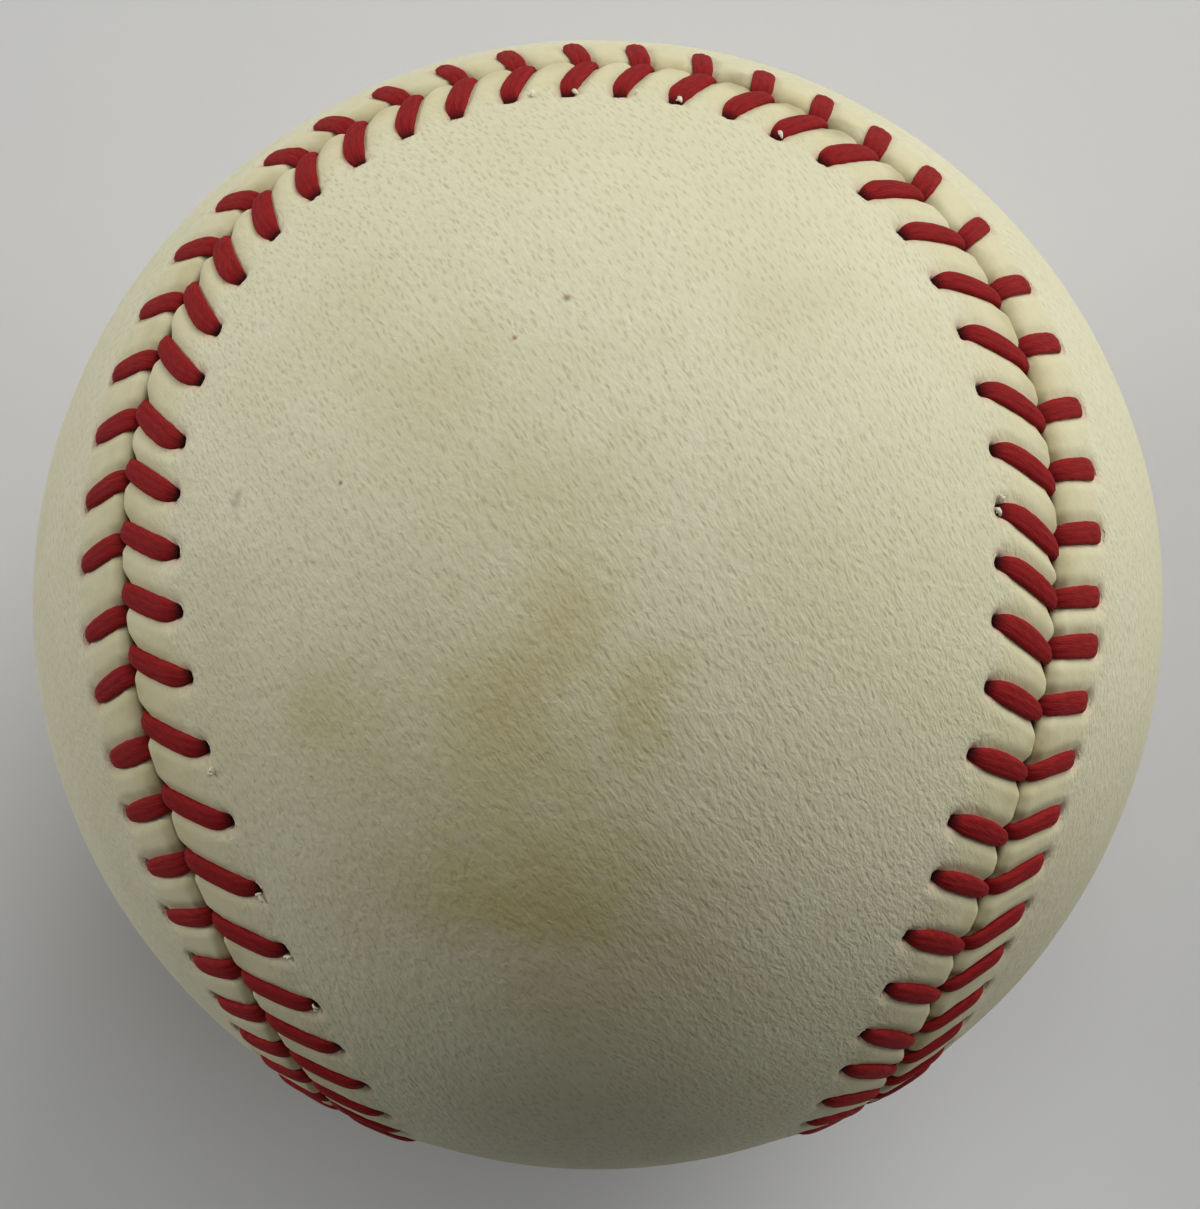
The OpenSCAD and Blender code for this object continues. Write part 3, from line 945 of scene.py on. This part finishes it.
def makeTornLeather():
    # the pale inside of the leather, where it is torn
    material, tree, shader = newMaterial("TornLeather", 0.9, 0.05)
    toned = mottle(tree, objectPlace(tree), 900.0, 0.3, 0.7)
    colour = mixColour(tree, toned, leatherLooks["base"], leatherLooks["torn"])
    giveInputs(tree, shader, {"Base Color": colour})
    addBump(tree, shader, toned, 0.4, 0.015*mm)
    return material


threadLooks = {
    "base": rgb(141, 23, 25),
    "light": rgb(154, 36, 35),
    "dark": rgb(116, 14, 18),
    "soiledAndShaded": rgb(44, 10, 10),
}


def makeRedThread():
    looks = threadLooks
    material, tree, shader = newMaterial("RedWaxedThread", 0.76, 0.12)
    where = attribute(tree, "threadPlace", "Vector")
    fibres = useEffect(tree, "Fibres", {"Place": where, "Along": 1.3, "Across": 13.0})
    broad = mottle(tree, where, 0.9, 0.3, 0.7)
    colour = mixColour(tree, fibres["Strand"], looks["dark"], looks["light"])
    colour = tone(tree, colour, looks["base"], broad, 0.6)
    # dirt and painted shade: the thread's end at the hole, its way down into the seam and the furrows
    # between its plies
    colour = mixColour(tree, attribute(tree, "threadShade"), colour, looks["soiledAndShaded"])
    giveInputs(tree, shader, {"Base Color": colour})
    addBump(tree, shader, fibres["Height"], 0.6, 0.08*mm)
    return material


# The inner layers

innerLooks = {
    "corkPale": rgb(176, 138, 98),
    "corkDark": rgb(104, 76, 52),
    "corkJoint": rgb(58, 42, 32),
    "blackRubber": (rgb(30, 29, 28), rgb(52, 50, 48)),      # dark, light
    "redRubber": (rgb(140, 38, 30), rgb(172, 62, 46)),
    "grayWool": (rgb(112, 110, 106), rgb(168, 166, 158)),
    "whiteWool": (rgb(206, 202, 188), rgb(236, 232, 220)),
    "finishingYarn": (rgb(210, 206, 190), rgb(240, 238, 228)),
    "woolTurns": 4500.0,  # radians of the yarns' wave for each metre
    "yarnTurns": 9000.0,
    "gapShade": 0.35,   # how dark it is between two turns
}


def makeCork():
    looks = innerLooks
    material, tree, shader = newMaterial("CorkComposition", 0.85, 0.2)
    grains = addNode(tree, "TexVoronoi", {
        "Vector": objectPlace(tree), "Scale": 620.0, "Randomness": 1.0}).outputs
    colour = mixColour(tree, splitPlace(tree, grains["Color"])[0], looks["corkDark"], looks["corkPale"])
    joint = fade(tree, grains["Distance"], 0.5, 0.9)
    giveInputs(tree, shader, {"Base Color": mixColour(tree, joint, colour, looks["corkJoint"])})
    addBump(tree, shader, calculate(tree, "SUBTRACT", 1.0, grains["Distance"]), 0.5, 0.15*mm)
    return material


def makeRubber(name, tones):
    dark, light = tones
    material, tree, shader = newMaterial(name, 0.6, 0.35)
    where = objectPlace(tree)
    bloom = mottle(tree, where, 120.0, 0.3, 0.75)
    giveInputs(tree, shader, {"Base Color": mixColour(tree, bloom, dark, light),
                              "Roughness": fade(tree, bloom, 0.0, 1.0, 0.52, 0.72)})
    addBump(tree, shader, clouds(tree, where, 1500.0, 2.0), 0.25, 0.04*mm)
    return material


def makeWinding(name, tones, turns):
    dark, light = tones
    shadow = tuple(innerLooks["gapShade"]*c for c in dark[:3]) + (1.0,)
    material, tree, shader = newMaterial(name, 0.9, 0.15)
    yarn = useEffect(tree, "WoundYarn", {"Place": objectPlace(tree), "Turns": turns, "Twist": 1400.0})
    colour = mixColour(tree, yarn["Strand"], dark, light)
    colour = tone(tree, colour, shadow, yarn["Gap"], 0.7)
    giveInputs(tree, shader, {"Base Color": colour})
    height = calculate(tree, "ADD", yarn["Height"], times(tree, yarn["Strand"], 0.4))
    addBump(tree, shader, height, 0.8, 0.3*mm)
    return material


def dressInnerNodes():
    looks = innerLooks
    black = makeRubber("BlackRubber", looks["blackRubber"])
    red = makeRubber("RedRubber", looks["redRubber"])
    gray = makeWinding("GrayWool", looks["grayWool"], looks["woolTurns"])
    white = makeWinding("WhiteWool", looks["whiteWool"], looks["woolTurns"])
    yarn = makeWinding("FinishingYarn", looks["finishingYarn"], looks["yarnTurns"])
    wear = {
        "cork_core": makeCork(), "upper_black_shell": black, "lower_black_shell": black,
        "shell_gasket": red, "red_rubber_layer": red, "first_wool_winding": gray,
        "second_wool_winding": white, "third_wool_winding": gray, "finishing_yarn": yarn,
    }
    for node, material in wear.items():
        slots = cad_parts[node].data.materials
        slots.clear()
        slots.append(material)


# Putting the ball together

def seat(piece, material, replaced=None):
    piece.data.materials.append(material)
    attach(piece, "root")
    if replaced:
        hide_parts(replaced)


stainedLeather = makeLeather("StainedLeather", handStains, brownSpecks)
plainLeather = makeLeather("PlainLeather", [], [])
redThread = makeRedThread()
seat(buildPanel(1, "cover_leather_a"), stainedLeather, "cover_panel_a")
seat(buildPanel(-1, "cover_leather_b"), plainLeather, "cover_panel_b")
seat(buildStitches(1, "laid_thread_a"), redThread, "red_stitches_a")
seat(buildStitches(-1, "laid_thread_b"), redThread, "red_stitches_b")
seat(buildFrays(), makeTornLeather())
dressInnerNodes()
print("stage: all pieces dressed")


# Floor, lamps, world and camera

studio = {
    "floorColour": rgb(232, 232, 232),
    "floorSize": 6.0,   # m
    "floorGap": 0.00002,  # m that it lies below the ball
    "floorFade": (0.16, 0.5),  # m from the ball's axis where it turns into the plain surround
    "worldColour": rgb(214, 214, 214),
    "worldLight": 0.04,
    "lampDistance": 0.9,  # m
    "lamps": [          # name, direction to it, size in m, light that it gives
        ("topLamp", (0.45, 0.80, 0.40), 0.50, 0.53),
        ("frontLamp", (0.15, 0.45, 0.88), 0.50, 0.27),
        ("rightLamp", (0.95, 0.26, 0.20), 0.35, 0.26),
        ("leftLamp", (-0.93, 0.30, 0.24), 0.35, 0.38),
    ],
}


def makeFloor():
    work = bmesh.new()
    bmesh.ops.create_grid(work, x_segments=8, y_segments=8, size=studio["floorSize"]/2)
    mesh = bpy.data.meshes.new("floor")
    work.to_mesh(mesh)
    work.free()
    floor = newObject("floor", mesh)
    floor.location.z = -ballRadius*mm - studio["floorGap"]
    material, tree, shader = newMaterial("PaleFloor", 0.9, 0.1)
    shader.inputs["Base Color"].default_value = studio["floorColour"]
    x, y, _ = splitPlace(tree, objectPlace(tree))
    away = vectorMath(tree, "LENGTH", joinPlace(tree, x, y), output="Value")
    far = times(tree, fade(tree, away, *studio["floorFade"]),
                addNode(tree, "LightPath").outputs["Is Camera Ray"])
    surround = addNode(tree, "Emission", {"Color": studio["worldColour"]})
    mixed = addNode(tree, "MixShader", {0: far, 1: shader.outputs[0], 2: surround.outputs[0]})
    giveInputs(tree, tree.nodes["Material Output"], {"Surface": mixed.outputs[0]})
    mesh.materials.append(material)


def makeWorld():
    world = bpy.data.worlds.new("studioWorld")
    bpy.context.scene.world = world
    world.use_nodes = True
    tree = world.node_tree
    seen = addNode(tree, "LightPath").outputs
    shown = calculate(tree, "MAXIMUM", seen["Is Camera Ray"], seen["Is Glossy Ray"])
    shown = calculate(tree, "MAXIMUM", shown, seen["Is Transmission Ray"])
    strength = fade(tree, shown, 0.0, 1.0, studio["worldLight"], 1.0)
    giveInputs(tree, tree.nodes["Background"], {"Color": studio["worldColour"], "Strength": strength})


def makeLamps():
    distance = studio["lampDistance"]
    for name, direction, size, light in studio["lamps"]:
        lamp = bpy.data.lights.new(name, "AREA")
        lamp.shape = "SQUARE"
        lamp.size = size
        # a white surface at the ball that faces the lamp shows this share of white
        lamp.energy = light*math.pi**2*distance**2
        holder = newObject(name, lamp)
        towards = Vector(direction).normalized()
        holder.location = towards*distance
        holder.rotation_euler = towards.to_track_quat("Z", "Y").to_euler()


cameraView = {
    "place": (3.02, 9.58, 157.1),   # mm from the ball's centre
    "target": (0.14, 0.0, 0.0),
    "upLean": 0.0198,               # sideways lean of the picture's upward direction
    "lens": 69.68,
    "sensor": 36.0,
    "nearest": 0.01,                # m from which it sees things
}


def makeCamera():
    data = bpy.data.cameras.new("photoCamera")
    data.sensor_width = cameraView["sensor"]
    data.sensor_fit = "HORIZONTAL"
    data.lens = cameraView["lens"]
    data.clip_start = cameraView["nearest"]
    camera = newObject("photoCamera", data)
    spot = Vector(cameraView["place"])*mm
    back = (spot - Vector(cameraView["target"])*mm).normalized()
    right = Vector((1.0, -cameraView["upLean"], 0.0)).normalized()
    right = (right - back*right.dot(back)).normalized()
    up = back.cross(right)
    camera.matrix_world = Matrix.Translation(spot) @ Matrix((right, up, back)).transposed().to_4x4()
    bpy.context.scene.camera = camera


makeFloor()
makeWorld()
makeLamps()
makeCamera()
bpy.context.scene.view_settings.view_transform = "Standard"
print("stage: floor, lamps and camera set")
